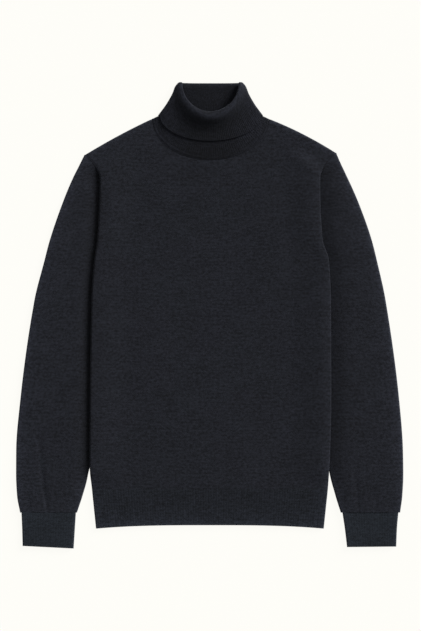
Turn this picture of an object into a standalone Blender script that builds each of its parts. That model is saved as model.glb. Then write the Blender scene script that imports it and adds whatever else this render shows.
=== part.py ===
"""A fine-knit turtleneck sweater laid flat on its back, with the sleeves straight down beside the body.

Every length below is in millimetres, and add_sheet turns them into metres. X runs across the sweater, with the
wearer's left at +X. Y runs towards the collar, and Z up from the surface that the sweater lies on. "up" is the
height above the middle of the hem's edge, and ORIGIN_UP puts the origin under the middle of the whole sweater.

Each piece is the middle surface of its cloth, a grid of points, with a Solidify modifier for the wall. The front
lies on the back and both curl to meet at the side and shoulder seams. The sleeves' inner edges lie a little under
the body's edges, which ride over them. The collar is one ribbed tube that stands, rolls over and comes down again.
"""

from collections import namedtuple

import bpy
import numpy as np

MM = 0.001
SEAM_HALF = 0.22  # from a seam to the middle of each edge that meets there
JERSEY = 1.6  # thickness of the plain knit
RIB = 2.4  # thickness of the ribbed knit

ORIGIN_UP = 349.6
HEM_HEIGHT = 61.5  # ribbed hem, at the middle
HEM_CORNER_DROP = 5.5  # how much lower the hem's corners lie
TIP_UP = 617.5  # shoulder tips
TIP_HALF = 208.7
NECK_UP = 677.0  # where the shoulder seams reach the neck
NECK_HALF = 98.0
FRONT_NECK_DROP = 65.5  # the front's neckline, below the neck points
BACK_NECK_DROP = 20.0
SHOULDER_BOW = 2.0  # how far the shoulder seam bows up between its ends
FOLD_RADIUS = 2.2  # of the cloth's middle surface at the side and shoulder folds
ROW_BEND_UP = 300.0  # above this the body's rows bend towards the shoulders

SLEEVE_LIFT = 4.1  # how far the body's edge rides up over a sleeve's inner edge
LIFT_RUN = 26.0  # width over which the body comes down again
INNER_Z = 2.8  # middle of a sleeve's front layer where it lies under the body
SLEEVE_Z = 6.1  # middle of a sleeve's front layer at its fullest
CUFF_LINE_UP = 22.0
NECK_STEPS = 8  # columns from the middle of the front to a neck point
BACK_STEPS = 12  # columns round the back of the collar
CUFF_Z = 5.2  # middle of a cuff's front layer

# The body's outline: half widths of the cloth's middle at heights up, and how far its edge is lifted, from 0 to 1,
# and curled, from 0 where it is sewn flat to the sleeve to 1 at a full fold.
BodyRow = namedtuple("BodyRow", "name up right left lift curl")
BODY = (
    BodyRow("hem corner", -5.5, 188.6, 187.9, 0.0, 1.0),
    BodyRow("mid rib", 30.0, 191.6, 190.6, 0.0, 1.0),
    BodyRow("hem line", 61.5, 195.0, 193.6, 0.0, 1.0),
    BodyRow("low hip", 95.0, 199.8, 196.2, 1.0, 1.0),
    BodyRow("hip", 125.0, 200.8, 198.8, 1.0, 1.0),
    BodyRow("waist", 208.0, 200.4, 200.6, 1.0, 1.0),
    BodyRow("midriff", 375.0, 197.6, 200.0, 1.0, 1.0),
    BodyRow("underarm", 440.0, 193.4, 196.8, 1.0, 1.0),
    BodyRow("chest", 475.0, 188.4, 186.2, 1.0, 1.0),
    BodyRow("across front", 540.0, 184.6, 182.4, 1.0, 1.0),
    BodyRow("seam bend", 578.0, 183.8, 182.2, 1.0, 1.0),
    BodyRow("sleeve head", 602.0, 193.6, 193.0, 0.0, 0.0),
    BodyRow("shoulder tip", TIP_UP, TIP_HALF, TIP_HALF, 0.0, 0.0),
)

# The sleeves: distance of the outer fold from the middle of the body, how far the inner edge lies under the body's
# edge (less than 0 where it is clear of it), and how full the front layer lies, from 0 (INNER_Z) to 1 (SLEEVE_Z).
SleeveRow = namedtuple("SleeveRow", "name up outer_right outer_left under_right under_left edge_full full")
SLEEVE = (
    SleeveRow("cuff line", CUFF_LINE_UP, 315.7, 315.0, -34.0, -29.4, 0.7, 0.8),
    SleeveRow("blouse", 50.0, 320.8, 318.8, -23.0, -17.4, 0.5, 1.0),
    SleeveRow("wrist", 85.0, 322.4, 320.4, -7.2, -3.6, 0.1, 1.0),
    SleeveRow("forearm", 125.0, 322.2, 319.8, 4.0, 4.5, 0.0, 1.0),
    SleeveRow("elbow", 208.0, 315.4, 313.6, 5.5, 5.5, 0.0, 1.0),
    SleeveRow("upper arm", 375.0, 291.6, 291.4, 5.5, 5.5, 0.0, 1.0),
    SleeveRow("underarm", 440.0, 275.6, 277.2, 5.5, 5.5, 0.0, 1.0),
    SleeveRow("chest", 475.0, 266.6, 268.4, 5.0, 5.0, 0.0, 1.0),
    SleeveRow("across front", 540.0, 244.4, 246.2, 3.0, 3.0, 0.0, 0.9),
    SleeveRow("seam bend", 578.0, 228.8, 229.0, -2.4, -2.4, 0.0, 0.8),
    SleeveRow("sleeve head", 602.0, 217.4, 217.6, -1.3, -1.3, 0.72, 0.72),
    SleeveRow("shoulder tip", TIP_UP - 1.5, 211.4, 211.6, -1.2, -1.2, 0.72, 0.72),
)

# The cuffs: the inner and outer ends of each edge, as distance from the middle of the body and height.
CuffRow = namedtuple("CuffRow", "name outer outer_up inner inner_up")
CUFF_RIGHT = (
    CuffRow("top", 312.6, 21.6, 227.0, 21.6),
    CuffRow("wrist", 310.8, -6.0, 229.4, -7.0),
    CuffRow("edge", 310.2, -34.2, 231.6, -38.4),
)
CUFF_LEFT = (
    CuffRow("top", 311.4, 21.6, 222.0, 21.6),
    CuffRow("wrist", 308.8, -6.0, 226.8, -6.0),
    CuffRow("edge", 307.8, -34.8, 230.6, -35.4),
)

# The collar's rings, from its seam to its loose edge: half width, height and rise at the side folds and the radius
# of the folds, then height and rise at the middle of the front and of the back, and how square the ring's front and
# back are (2 is an ellipse).
Ring = namedtuple("Ring", "name half side_up side_z fold front_up front_z back_up back_z front_n back_n")
COLLAR = (
    Ring("seam edge", 96.4, 678.2, 3.0, 1.5, 612.4, 5.7, 657.7, 1.2, 2.0, 2.0),
    Ring("seam band", 91.0, 679.6, 3.4, 1.5, 618.5, 6.9, 661.5, 2.0, 1.95, 2.0),
    Ring("stand foot", 80.0, 682.6, 5.0, 1.6, 633.0, 8.9, 672.0, 4.0, 1.95, 2.2),
    Ring("stand", 66.8, 701.5, 6.3, 1.7, 658.0, 11.9, 696.0, 4.2, 1.85, 2.6),
    Ring("stand top", 55.6, 718.0, 6.6, 1.9, 675.0, 16.2, 716.0, 4.7, 1.7, 3.2),
    Ring("roll inside", 52.6, 730.0, 6.8, 2.6, 687.6, 20.4, 730.0, 5.7, 1.6, 3.5),
    Ring("roll crest", 54.6, 735.4, 6.8, 3.7, 684.0, 23.8, 736.3, 3.8, 1.6, 3.5),
    Ring("roll outside", 57.6, 730.6, 6.6, 4.6, 676.4, 21.6, 730.6, 1.3, 1.65, 3.5),
    Ring("trough", 60.6, 720.6, 6.4, 4.8, 667.6, 18.2, 720.0, 1.2, 1.75, 3.2),
    Ring("turnover", 69.8, 704.0, 6.2, 4.8, 655.0, 15.0, 704.0, 1.2, 1.9, 3.0),
    Ring("loose edge", 86.0, 683.4, 6.1, 4.7, 641.2, 12.8, 677.0, 1.2, 2.0, 2.6),
)

BACK_Z = JERSEY / 2
FRONT_Z = BACK_Z + 2 * FOLD_RADIUS


def smooth(share):
    """0 to 1 with level ends, as share goes from 0 to 1."""
    share = np.clip(share, 0.0, 1.0)
    return share * share * (3 - 2 * share)


def through(at_rows, values, at):
    """A smooth curve through the rows' values that never swings past them, read at the places in at."""
    x, y = np.asarray(at_rows, float), np.asarray(values, float)
    steps, rises = np.diff(x), np.diff(y) / np.diff(x)
    slopes = np.concatenate([rises[:1], np.zeros(len(x) - 2), rises[-1:]])
    level = rises[:-1] * rises[1:] <= 0
    both = np.where(level, 1.0, rises[:-1] * rises[1:])
    slopes[1:-1] = np.where(level, 0.0, 2 * both / np.where(level, 1.0, rises[:-1] + rises[1:]))
    k = np.clip(np.searchsorted(x, at, side="right") - 1, 0, len(x) - 2)
    t = (np.asarray(at, float) - x[k]) / steps[k]
    rest = 1 - t
    return (
        y[k] * (1 + 2 * t) * rest**2
        + y[k + 1] * (1 + 2 * rest) * t**2
        + steps[k] * t * rest * (slopes[k] * rest - slopes[k + 1] * t)
    )


def column(table, name):
    """One named column of a table."""
    return [getattr(row, name) for row in table]


def read(table, name, up):
    """A named column of a table at the heights up."""
    return through(column(table, "up"), column(table, name), np.clip(up, table[0].up, table[-1].up))


FOLD_ANGLES = np.radians((90, 50, 11, 0))  # a quarter fold, from the level cloth to its edge at the seam


def fold_share(angle, radius):
    """How far along a quarter fold's radius the cloth is at an angle, from 1 down to its edge at the seam."""
    edge = SEAM_HALF / radius
    return edge + (1 - edge) * np.sin(angle)


def body_columns():
    """(share, angle) of each column: share of the half width less the fold, and the fold's angle, from -X to +X."""
    neck = NECK_HALF / (TIP_HALF - FOLD_RADIUS)
    level = [neck * np.sin(k * np.pi / 2 / NECK_STEPS) for k in range(NECK_STEPS + 1)]
    level += [0.60, 0.74, 0.85, 0.905, 0.96, 1.0]
    side = [(share, FOLD_ANGLES[0]) for share in level] + [(1.0, angle) for angle in FOLD_ANGLES[1:]]
    return [(-share, angle) for share, angle in side[:0:-1]] + side


def body_half(up, side):
    """Half width of the body at a height, on the wearer's right (side -1) or left (+1)."""
    return read(BODY, "left" if side > 0 else "right", up)


def under(up, side):
    """How far a sleeve's inner edge lies under the body's edge."""
    return read(SLEEVE, "under_left" if side > 0 else "under_right", up)


def body_lift(x, up):
    """How far the body rides up at x over the sleeve's edge that lies under it."""
    side = np.where(x < 0, -1, 1)
    half = np.where(x < 0, body_half(up, -1), body_half(up, +1))
    tucked = np.where(x < 0, under(up, -1), under(up, +1))
    inward = half - side * x - np.maximum(tucked, 0) - 3.0
    return SLEEVE_LIFT * read(BODY, "lift", up) * (1 - smooth(inward / LIFT_RUN))


def shoulder_up(x):
    """Height of the shoulder seam's line at x."""
    share = np.clip((abs(x) - NECK_HALF) / (TIP_HALF - NECK_HALF), 0, 1)
    return NECK_UP + (TIP_UP - NECK_UP) * share + 4 * SHOULDER_BOW * share * (1 - share)


def body_top(x, neck_drop):
    """Height of a body piece's top edge at x: the shoulder seams and, between them, the neckline."""
    across = np.clip(abs(x) / NECK_HALF, 0, 1)
    neckline = NECK_UP - neck_drop * np.sqrt(1 - across**2)
    return np.where(abs(x) < 0.999 * NECK_HALF, neckline, shoulder_up(x))


def body_rows():
    """(height, angle) of each row at the body's edge: the rows of both tables, then the fold at the shoulder."""
    heights = (62, 80, 95, 125, 208, 375, 440, 475, 510, 540, 562, 578, 590, 602, 610)
    rows = [(up, FOLD_ANGLES[0]) for up in heights]
    return rows + [(TIP_UP - FOLD_RADIUS * (1 - np.cos(angle)), angle) for angle in FOLD_ANGLES]


def body_grid(face, neck_drop):
    """Points of the front (face +1) or the back (-1): level cloth that curls to the mid height at its seams."""
    grid = []
    for up, row_angle in body_rows():
        bend = smooth((up - ROW_BEND_UP) / (TIP_UP - ROW_BEND_UP))
        row = []
        for share, angle in body_columns():
            side = -1 if share < 0 else 1
            x = share * (body_half(up, side) - FOLD_RADIUS) + side * FOLD_RADIUS * np.cos(angle)
            x_at_tip = share * (TIP_HALF - FOLD_RADIUS) + side * FOLD_RADIUS * np.cos(angle)
            height = up + bend * (body_top(x_at_tip, neck_drop) - TIP_UP)
            at_shoulder = 1 - (1 - min(abs(x_at_tip) / NECK_HALF, 1) ** 2) ** (1 / 6)
            curl = 1 - read(BODY, "curl", up) * (1 - fold_share(angle, FOLD_RADIUS))
            curl *= 1 - at_shoulder * (1 - fold_share(row_angle, FOLD_RADIUS))
            row.append((x, height, BACK_Z + FOLD_RADIUS * (1 + face * curl) + body_lift(x, up)))
        grid.append(row)
    return np.array(grid)


def hem_grid(face):
    """Points of the ribbed hem's front or back, with the body's own columns and its lowest corners at the sides."""
    grid = []
    lift = (RIB - JERSEY) / 2
    for drop in (0.0, 0.1, 0.5, 0.95, 1.0):
        row = []
        for share, angle in body_columns():
            side = -1 if share < 0 else 1
            edge = -HEM_CORNER_DROP * abs(share) ** 3
            up = HEM_HEIGHT + (edge - HEM_HEIGHT) * drop
            half = body_half(up, side)
            x = share * (half - FOLD_RADIUS) + side * FOLD_RADIUS * np.cos(angle)
            z = BACK_Z + lift + FOLD_RADIUS * (1 + face * fold_share(angle, FOLD_RADIUS)) + body_lift(x, up)
            row.append((x, up, z))
        grid.append(row)
    return np.array(grid[::-1])


def sleeve_section(side, up):
    """Points across one sleeve from its front seam edge over the outer fold to its back seam edge, at one height."""
    half = body_half(up, side)
    tucked = under(up, side)
    outer = read(SLEEVE, "outer_left" if side > 0 else "outer_right", up)
    inner = half - tucked
    edge_z = INNER_Z + (SLEEVE_Z - INNER_Z) * read(SLEEVE, "edge_full", up)
    full_z = INNER_Z + (SLEEVE_Z - INNER_Z) * read(SLEEVE, "full", up)
    inner_curl = read(BODY, "curl", up)
    inner_radius = (edge_z - BACK_Z) / 2
    outer_radius = (full_z - BACK_Z) / 2
    width = outer - inner
    flat = max(width - outer_radius - inner_radius * inner_curl, 0.2)
    start = inner + inner_radius * inner_curl
    rise = min(max(tucked, 0) + 16.0, 0.6 * flat)
    points = []
    for angle in FOLD_ANGLES[:0:-1]:
        x = start - inner_radius * inner_curl * np.cos(angle)
        z = edge_z - inner_radius * inner_curl * (1 - fold_share(angle, inner_radius))
        points.append((x, z))
    for share in (0.0, 0.08, 0.16, 0.26, 0.5, 0.78, 1.0):
        run = share * flat
        z = edge_z + (full_z - edge_z) * smooth((run - 0.5 * max(tucked, 0)) / rise)
        points.append((start + run, z))
    end = start + flat
    for angle in np.linspace(np.pi / 2, -np.pi / 2, 7)[1:-1]:
        points.append((end + (outer - end) * np.cos(angle), BACK_Z + outer_radius * (1 + np.sin(angle))))
    for share in (1.0, 0.66, 0.33, 0.0):
        points.append((start + share * flat, BACK_Z))
    for angle in FOLD_ANGLES[1:]:
        x = start - inner_radius * inner_curl * np.cos(angle)
        z = BACK_Z + inner_radius * inner_curl * (1 - fold_share(angle, inner_radius))
        points.append((x, z))
    return [(side * x, up, z) for x, z in points]


def sleeve_grid(side):
    """Points of one sleeve: its sections from the cuff line to the shoulder tip."""
    heights = [CUFF_LINE_UP + 2 * SEAM_HALF, 34, 50, 66, 85, 104, 125, 165, 208, 290, 375, 440, 475, 510, 540, 562]
    heights += [578, 590, 602, 610, TIP_UP - 1.5]
    return np.array([sleeve_section(side, up) for up in heights])


def cuff_grid(side, table):
    """Points of one cuff: rings round a flat tube of ribbed knit, with the folds at both sides."""
    radius = (CUFF_Z - RIB / 2) / 2
    order = np.arange(len(table))
    grid = []
    for at in np.linspace(0, len(table) - 1, 4):
        outer, outer_up, inner, inner_up = (
            through(order, column(table, name), at) for name in ("outer", "outer_up", "inner", "inner_up")
        )
        ring = []
        for turn, x0, x1 in ((1, inner, outer), (-1, outer, inner)):
            step = np.sign(x1 - x0)
            for share in (0.0, 0.25, 0.5, 0.75):
                x = x0 + step * radius + share * (x1 - x0 - 2 * step * radius)
                ring.append((x, turn))
            for angle in np.linspace(np.pi / 2, -np.pi / 2, 6)[:-1]:
                ring.append((x1 - step * radius * (1 - np.cos(angle)), turn * np.sin(angle)))
        row = []
        for x, rise in ring:
            share = (x - inner) / (outer - inner)
            row.append((side * x, inner_up + (outer_up - inner_up) * share, RIB / 2 + radius * (1 + rise)))
        grid.append(row)
    return np.array(grid)


def collar_half(ring, face, steps):
    """Points along the front (face +1) or the back (-1) of a ring of the collar, from its +X side to its -X side."""
    up, z, n = (ring["front_up"], ring["front_z"], ring["front_n"])
    if face < 0:
        up, z, n = (ring["back_up"], ring["back_z"], ring["back_n"])
    turn = np.linspace(0, np.pi, 181)
    across = np.sign(np.cos(turn)) * abs(np.cos(turn)) ** (2 / n)
    away = np.sin(turn) ** (2 / n)
    level = ring["side_z"] + face * ring["fold"]
    points = np.stack(
        [
            (ring["half"] - ring["fold"]) * across,
            ring["side_up"] + (up - ring["side_up"]) * away,
            level + (z - level) * np.sin(turn) ** (2 / 3),
        ],
        axis=1,
    )
    along = np.concatenate([[0], np.cumsum(np.linalg.norm(np.diff(points, axis=0), axis=1))])
    at = np.linspace(0, along[-1], steps + 1)
    return np.stack([np.interp(at, along, points[:, k]) for k in range(3)], axis=1)


def collar_ring(ring):
    """Points round one ring of the collar: its front, the fold at its -X side, its back and the fold at +X."""
    folds = [(side * ring["half"], ring["side_up"], ring["side_z"]) for side in (-1, 1)]
    front = collar_half(ring, +1, 2 * NECK_STEPS)
    back = collar_half(ring, -1, BACK_STEPS)[::-1]
    return np.concatenate([front, folds[:1], back, folds[1:]])


def collar_grid():
    """Points of the collar: rings from the seam up the stand, over the roll and down the turnover."""
    order = np.arange(len(COLLAR))
    stations = [0, 1, 1.6, 2.3, 3, 3.6, 4.2, 4.6, 5, 5.33, 5.66, 6, 6.33, 6.66, 7, 7.5, 8, 8.6, 9.2, 10]
    names = Ring._fields[1:]
    rings = [{name: through(order, column(COLLAR, name), at) for name in names} for at in stations]
    return np.array([collar_ring(ring) for ring in rings])


def add_sheet(name, grid, wall, material, parent, ring=False, front_first=True):
    """A piece of cloth: a grid of quads on the middle surface, made into a closed wall by Solidify.

    ring joins the last column to the first. front_first is False where the grid's faces have to be turned round.
    """
    rows, columns = grid.shape[:2]
    points = (grid - (0.0, ORIGIN_UP, 0.0)).reshape(-1, 3) * MM
    faces = []
    for row in range(rows - 1):
        for left in range(columns if ring else columns - 1):
            right = (left + 1) % columns
            face = [row * columns + left, row * columns + right, (row + 1) * columns + right, (row + 1) * columns + left]
            faces.append(face if front_first else face[::-1])
    mesh = bpy.data.meshes.new(name)
    mesh.from_pydata(points.tolist(), [], faces)
    mesh.materials.append(material)
    mesh.shade_smooth()
    piece = bpy.data.objects.new(name, mesh)
    parent.users_collection[0].objects.link(piece)
    piece.parent = parent
    solidify = piece.modifiers.new("wall", "SOLIDIFY")
    solidify.thickness = wall * MM
    solidify.offset = 0.0
    solidify.use_even_offset = False
    return piece


def knit_material(name, colour, roughness):
    """A dull woollen knit of one colour, given as linear red, green and blue."""
    material = bpy.data.materials.new(name)
    material.use_nodes = True
    shader = material.node_tree.nodes["Principled BSDF"]
    shader.inputs["Base Color"].default_value = (*colour, 1.0)
    shader.inputs["Roughness"].default_value = roughness
    shader.inputs["Metallic"].default_value = 0.0
    return material


def clear_scene():
    """Removes whatever the scene holds."""
    for old in list(bpy.data.objects):
        bpy.data.objects.remove(old)


def build():
    """Makes the sweater's nine pieces under one empty."""
    clear_scene()
    collection = bpy.data.collections.new("turtleneck_sweater")
    bpy.context.scene.collection.children.link(collection)
    sweater = bpy.data.objects.new("sweater", None)
    collection.objects.link(sweater)
    jersey = knit_material("charcoal_jersey", (0.016, 0.017, 0.022), 0.9)
    rib = knit_material("charcoal_rib", (0.015, 0.016, 0.021), 0.9)

    add_sheet("front", body_grid(+1, FRONT_NECK_DROP), JERSEY, jersey, sweater)
    add_sheet("back", body_grid(-1, BACK_NECK_DROP), JERSEY, jersey, sweater, front_first=False)
    add_sheet("hem_front", hem_grid(+1), RIB, rib, sweater)
    add_sheet("hem_back", hem_grid(-1), RIB, rib, sweater, front_first=False)
    add_sheet("sleeve_right", sleeve_grid(-1), JERSEY, jersey, sweater, front_first=False)
    add_sheet("sleeve_left", sleeve_grid(+1), JERSEY, jersey, sweater)
    add_sheet("cuff_right", cuff_grid(-1, CUFF_RIGHT), RIB, rib, sweater, ring=True)
    add_sheet("cuff_left", cuff_grid(+1, CUFF_LEFT), RIB, rib, sweater, ring=True, front_first=False)
    add_sheet("collar", collar_grid(), RIB, rib, sweater, ring=True)


build()
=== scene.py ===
"""A fine-knit turtleneck sweater laid flat on its back: the cloth, its knit and the studio.

Every length in a table or a field is in millimetres, and knitted_sheet turns them into metres. X runs across
the sweater, with the wearer's left at +X. Y runs towards the collar, and Z up from the surface it lies on.
"up" is the height above the middle of the hem's edge.

Each piece is the middle surface of its cloth: a grid of points worked out from two parameters, one across the
knit's ribs or wales and one along them, made into a thin shell by Solidify. The ribs of the hem, the cuffs
and the collar are real ridges in that surface, and the stitches are in the finish.
"""

import logging
from dataclasses import dataclass
from enum import Enum
from typing import ClassVar, NamedTuple

import bpy
import numpy as np
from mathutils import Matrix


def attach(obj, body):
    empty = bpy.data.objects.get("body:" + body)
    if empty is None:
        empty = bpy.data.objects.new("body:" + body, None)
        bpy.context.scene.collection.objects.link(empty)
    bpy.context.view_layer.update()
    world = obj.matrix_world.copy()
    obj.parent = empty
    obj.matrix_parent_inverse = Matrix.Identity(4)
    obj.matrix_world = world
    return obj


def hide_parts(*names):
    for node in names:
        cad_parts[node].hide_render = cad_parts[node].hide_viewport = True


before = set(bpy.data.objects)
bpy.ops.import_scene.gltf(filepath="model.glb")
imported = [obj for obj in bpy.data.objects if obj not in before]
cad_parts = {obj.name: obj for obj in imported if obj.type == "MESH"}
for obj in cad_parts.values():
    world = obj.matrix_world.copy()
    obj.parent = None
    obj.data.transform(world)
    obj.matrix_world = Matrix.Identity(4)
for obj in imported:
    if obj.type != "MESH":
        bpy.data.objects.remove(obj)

LOG = logging.getLogger("sweater")
MM = 0.001
ORIGIN_UP = 349.6
RIB_PITCH = 4.2
RIB_MEAN = 0.64
FOLD_END = 0.02
LOWEST_SWELL = -0.3
# Quick and slow falls of the painted highlight inside a piece's outline.
NEAR_FALL = 5.0
FAR_FALL = 28.0
FAR_AWAY = 200.0

Cloth = tuple[np.ndarray, np.ndarray, np.ndarray]


class Side(Enum):
    """The wearer's sides, as the sign of X."""

    RIGHT = -1
    LEFT = 1


class Face(Enum):
    """Which layer of the sweater a panel is, as the way that it lies from the mid height."""

    FRONT = 1
    BACK = -1


class BodyRow(NamedTuple):
    """The body's outline at one height: half widths, the share of its lift, and how fully its edge folds."""

    name: str
    up: float
    right: float
    left: float
    lift: float
    curl: float


class SleeveRow(NamedTuple):
    """A sleeve at one height: its outer fold, its inner edge's depth under the body, and its fullness."""

    name: str
    up: float
    outer_right: float
    outer_left: float
    under_right: float
    under_left: float
    edge_full: float
    full: float


class CuffRow(NamedTuple):
    """One line across a cuff: its outer and inner ends, as a distance from the middle and a height."""

    name: str
    outer: float
    outer_up: float
    inner: float
    inner_up: float


class Ring(NamedTuple):
    """One ring of the collar: half width, side folds, front, back, squareness and the depth of its ribs."""

    name: str
    half: float
    side_up: float
    side_z: float
    fold: float
    front_up: float
    front_z: float
    back_up: float
    back_z: float
    front_n: float
    back_n: float
    rib: float


class Crease(NamedTuple):
    """A soft trough (depth above 0) or ridge (below 0) from one point of the cloth to another."""

    name: str
    x0: float
    up0: float
    x1: float
    up1: float
    width: float
    depth: float


BODY = (
    BodyRow("hem corner", -5.5, 190.4, 188.3, 0.0, 1.0),
    BodyRow("mid rib", 30.0, 194.1, 192.0, 0.0, 1.0),
    BodyRow("hem line", 61.5, 197.3, 195.2, 0.0, 1.0),
    BodyRow("low hip", 95.0, 200.6, 197.4, 1.0, 1.0),
    BodyRow("hip", 125.0, 200.8, 198.8, 1.0, 1.0),
    BodyRow("waist", 208.0, 200.4, 200.6, 1.0, 1.0),
    BodyRow("midriff", 375.0, 197.6, 200.0, 1.0, 1.0),
    BodyRow("underarm", 440.0, 193.4, 196.8, 1.0, 1.0),
    BodyRow("chest", 475.0, 188.4, 186.2, 1.0, 1.0),
    BodyRow("across front", 540.0, 184.6, 182.4, 1.0, 1.0),
    BodyRow("seam bend", 578.0, 183.8, 182.2, 1.0, 1.0),
    BodyRow("sleeve head", 602.0, 193.6, 193.0, 0.0, 0.0),
    BodyRow("shoulder tip", 617.5, 208.7, 208.7, 0.0, 0.0),
)

SLEEVE = (
    SleeveRow("cuff line", 21.0, 317.0, 315.7, -30.5, -27.2, 0.7, 0.8),
    SleeveRow("blouse", 50.0, 322.2, 319.4, -18.0, -15.0, 0.5, 1.0),
    SleeveRow("wrist", 85.0, 323.8, 321.0, -5.0, -3.0, 0.1, 1.0),
    SleeveRow("forearm", 125.0, 323.6, 320.4, 4.0, 4.5, 0.0, 1.0),
    SleeveRow("elbow", 208.0, 316.8, 314.2, 5.5, 5.5, 0.0, 1.0),
    SleeveRow("upper arm", 375.0, 293.2, 291.4, 5.5, 5.5, 0.0, 1.0),
    SleeveRow("underarm", 440.0, 276.8, 277.0, 5.5, 5.5, 0.0, 1.0),
    SleeveRow("chest", 475.0, 267.6, 268.0, 5.5, 5.5, 0.0, 1.0),
    SleeveRow("across front", 540.0, 245.2, 244.4, 5.5, 5.5, 0.0, 0.9),
    SleeveRow("seam bend", 578.0, 229.4, 227.2, 5.5, 5.5, 0.0, 0.8),
    SleeveRow("sleeve head", 602.0, 217.4, 215.8, 1.4, 1.4, 0.66, 0.72),
    SleeveRow("shoulder tip", 617.0, 210.0, 209.4, 1.4, 1.4, 0.66, 0.72),
)

CUFFS = {
    Side.RIGHT: (
        CuffRow("top", 314.8, 21.9, 225.4, 21.9),
        CuffRow("wrist", 313.6, -6.0, 227.2, -7.0),
        CuffRow("edge", 312.8, -34.6, 229.2, -38.8),
    ),
    Side.LEFT: (
        CuffRow("top", 312.8, 21.9, 220.8, 21.9),
        CuffRow("wrist", 310.4, -6.0, 225.0, -6.0),
        CuffRow("edge", 309.2, -35.6, 228.6, -36.4),
    ),
}

COLLAR = (
    Ring("seam edge", 99.4, 675.6, 3.0, 1.6, 609.6, 5.7, 655.6, 1.4, 2.0, 2.0, 0.0),
    Ring("seam band", 92.6, 679.4, 3.4, 1.6, 618.2, 6.7, 661.5, 2.0, 1.95, 2.0, 0.5),
    Ring("stand foot", 85.0, 683.0, 4.6, 1.8, 633.0, 7.7, 672.0, 4.0, 1.95, 2.2, 0.8),
    Ring("stand", 70.8, 701.5, 5.6, 1.8, 658.0, 9.0, 696.0, 4.2, 1.9, 2.6, 0.7),
    Ring("stand top", 56.6, 718.0, 6.4, 2.0, 675.0, 13.0, 716.0, 4.7, 1.85, 3.2, 0.6),
    Ring("roll inside", 50.2, 731.0, 6.8, 2.6, 689.0, 19.6, 730.0, 5.7, 1.85, 3.4, 0.5),
    Ring("roll crest", 52.2, 738.2, 7.2, 3.9, 681.8, 24.0, 736.8, 4.4, 1.85, 3.2, 0.25),
    Ring("roll outside", 58.4, 731.6, 6.8, 4.8, 676.0, 22.4, 731.0, 1.4, 1.85, 3.2, 0.35),
    Ring("trough", 62.8, 720.6, 6.3, 4.7, 667.4, 15.8, 720.0, 1.2, 1.85, 3.2, 0.6),
    Ring("turnover", 72.0, 704.0, 5.8, 4.3, 655.0, 11.3, 704.0, 1.2, 1.9, 3.0, 0.8),
    Ring("loose edge", 87.2, 683.0, 4.9, 3.2, 641.2, 10.1, 677.0, 1.2, 2.0, 2.6, 1.0),
)

FRONT_CREASES = (
    Crease("above the hem, left", 80.5, 66.0, 81.5, 132.0, 3.4, 0.45),
    Crease("above the hem, middle", -24.0, 64.0, -30.0, 104.0, 6.0, 0.25),
    Crease("above the hem, right", -118.0, 64.0, -112.0, 118.0, 7.0, 0.25),
    Crease("left armhole", 168.0, 470.0, 178.0, 432.0, 9.0, 0.5),
    Crease("right armhole", -170.0, 492.0, -182.0, 446.0, 9.0, 0.4),
    Crease("left chest", 150.0, 520.0, 118.0, 560.0, 14.0, 0.3),
    Crease("right chest", -140.0, 540.0, -108.0, 575.0, 14.0, 0.3),
)

BACK_CREASES = (
    Crease("above the hem, left", 62.0, 66.0, 66.0, 120.0, 5.0, -0.3),
    Crease("above the hem, right", -91.0, 66.0, -86.0, 142.0, 4.0, -0.4),
    Crease("across the shoulders", -88.0, 560.0, 74.0, 566.0, 16.0, -0.3),
)

SLEEVE_CREASES = {
    Side.RIGHT: (
        Crease("along the wrist", -288.5, 165.0, -280.4, 80.0, 3.8, 0.9),
        Crease("into the cuff", -284.0, 103.0, -271.8, 20.0, 3.2, 1.3),
        Crease("cuff, outside", -302.0, 22.0, -305.0, 52.0, 5.0, 0.5),
        Crease("cuff, inside", -244.0, 22.0, -240.0, 46.0, 5.0, 0.5),
        Crease("elbow", -216.0, 250.0, -262.0, 238.0, 12.0, 0.35),
        Crease("upper arm", -206.0, 420.0, -246.0, 396.0, 12.0, 0.35),
    ),
    Side.LEFT: (
        Crease("into the cuff", 240.6, 98.0, 247.0, 20.0, 3.6, 0.75),
        Crease("cuff, outside", 300.0, 22.0, 303.0, 46.0, 5.0, 0.5),
        Crease("cuff, middle", 272.0, 22.0, 274.0, 58.0, 5.0, 0.35),
        Crease("elbow", 214.0, 232.0, 256.0, 244.0, 13.0, 0.35),
        Crease("upper arm", 204.0, 432.0, 240.0, 418.0, 12.0, 0.35),
    ),
}


def smooth(share: np.ndarray) -> np.ndarray:
    """Returns 0 to 1 with level ends, as share goes from 0 to 1: three of its square less two of its cube."""
    share = np.clip(share, 0.0, 1.0)
    return share * share * (3 - 2 * share)


def through(at_rows: list[float], values: list[float], at: np.ndarray) -> np.ndarray:
    """Reads a smooth curve through the rows' values.

    The curve is a cubic Hermite between neighbouring rows, with the harmonic mean of the two slopes at each
    row, or none at a row that is a peak, so that it never swings past a value.

    Args:
        at_rows: the rows' places, rising.
        values: the value at each row.
        at: the places to read.

    Returns:
        The values there, in the shape of at.
    """
    x, y = np.asarray(at_rows, float), np.asarray(values, float)
    at = np.clip(np.asarray(at, float), x[0], x[-1])
    steps, rises = np.diff(x), np.diff(y) / np.diff(x)
    product, total = rises[:-1] * rises[1:], rises[:-1] + rises[1:]
    bends = product > 0
    inner = np.where(bends, 2 * product / np.where(bends, total, 1.0), 0.0)
    slopes = np.concatenate([rises[:1], inner, rises[-1:]])
    k = np.clip(np.searchsorted(x, at, side="right") - 1, 0, len(x) - 2)
    t = (at - x[k]) / steps[k]
    rest = 1 - t
    return (
        y[k] * (1 + 2 * t) * rest**2
        + y[k + 1] * (1 + 2 * rest) * t**2
        + steps[k] * t * rest * (slopes[k] * rest - slopes[k + 1] * t)
    )


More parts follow.
